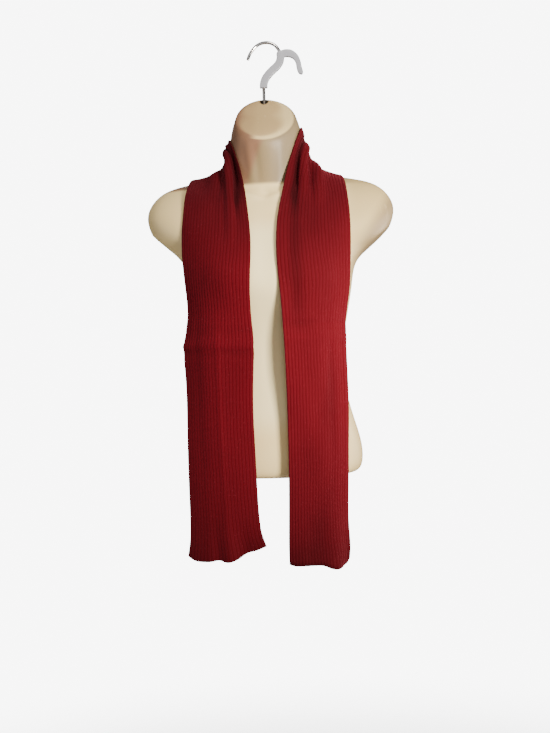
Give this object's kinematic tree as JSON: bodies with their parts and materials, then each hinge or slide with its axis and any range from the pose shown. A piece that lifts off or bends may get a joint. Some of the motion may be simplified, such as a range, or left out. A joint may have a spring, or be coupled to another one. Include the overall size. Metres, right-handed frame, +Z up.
{
  "type": "knit scarf on a hanging torso form",
  "caption": "Long ribbed knit scarf worn open round the neck of a limbless torso form, which hangs from a wire hook with a plastic sleeve and side hook.",
  "frame": {"origin": "the inside top of the hook's curl, where a rail holds it; the part hangs below it", "axes": "+Z up along the hanging form; -Y towards the front, so +X is a viewer's right from the front"},
  "size_m": [0.4078, 0.2126, 0.8533],
  "materials": {
    "crimson_knit": "soft ribbed wool knit, matt with a fine nap",
    "cream_plastic": "blow-moulded cream plastic, satin, glossier at the cap",
    "dark_steel": "dark turned metal",
    "chrome": "bright chromed wire",
    "pale_plastic": "glossy pale grey moulded plastic"
  },
  "bodies": {
    "root": {"scarf_tail_right": "crimson_knit", "scarf_neck": "crimson_knit", "scarf_tail_left": "crimson_knit", "torso_form": "cream_plastic", "hook_socket": "dark_steel", "hook_wire": "chrome", "hook_sleeve": "pale_plastic"}
  },
  "joints": []
}
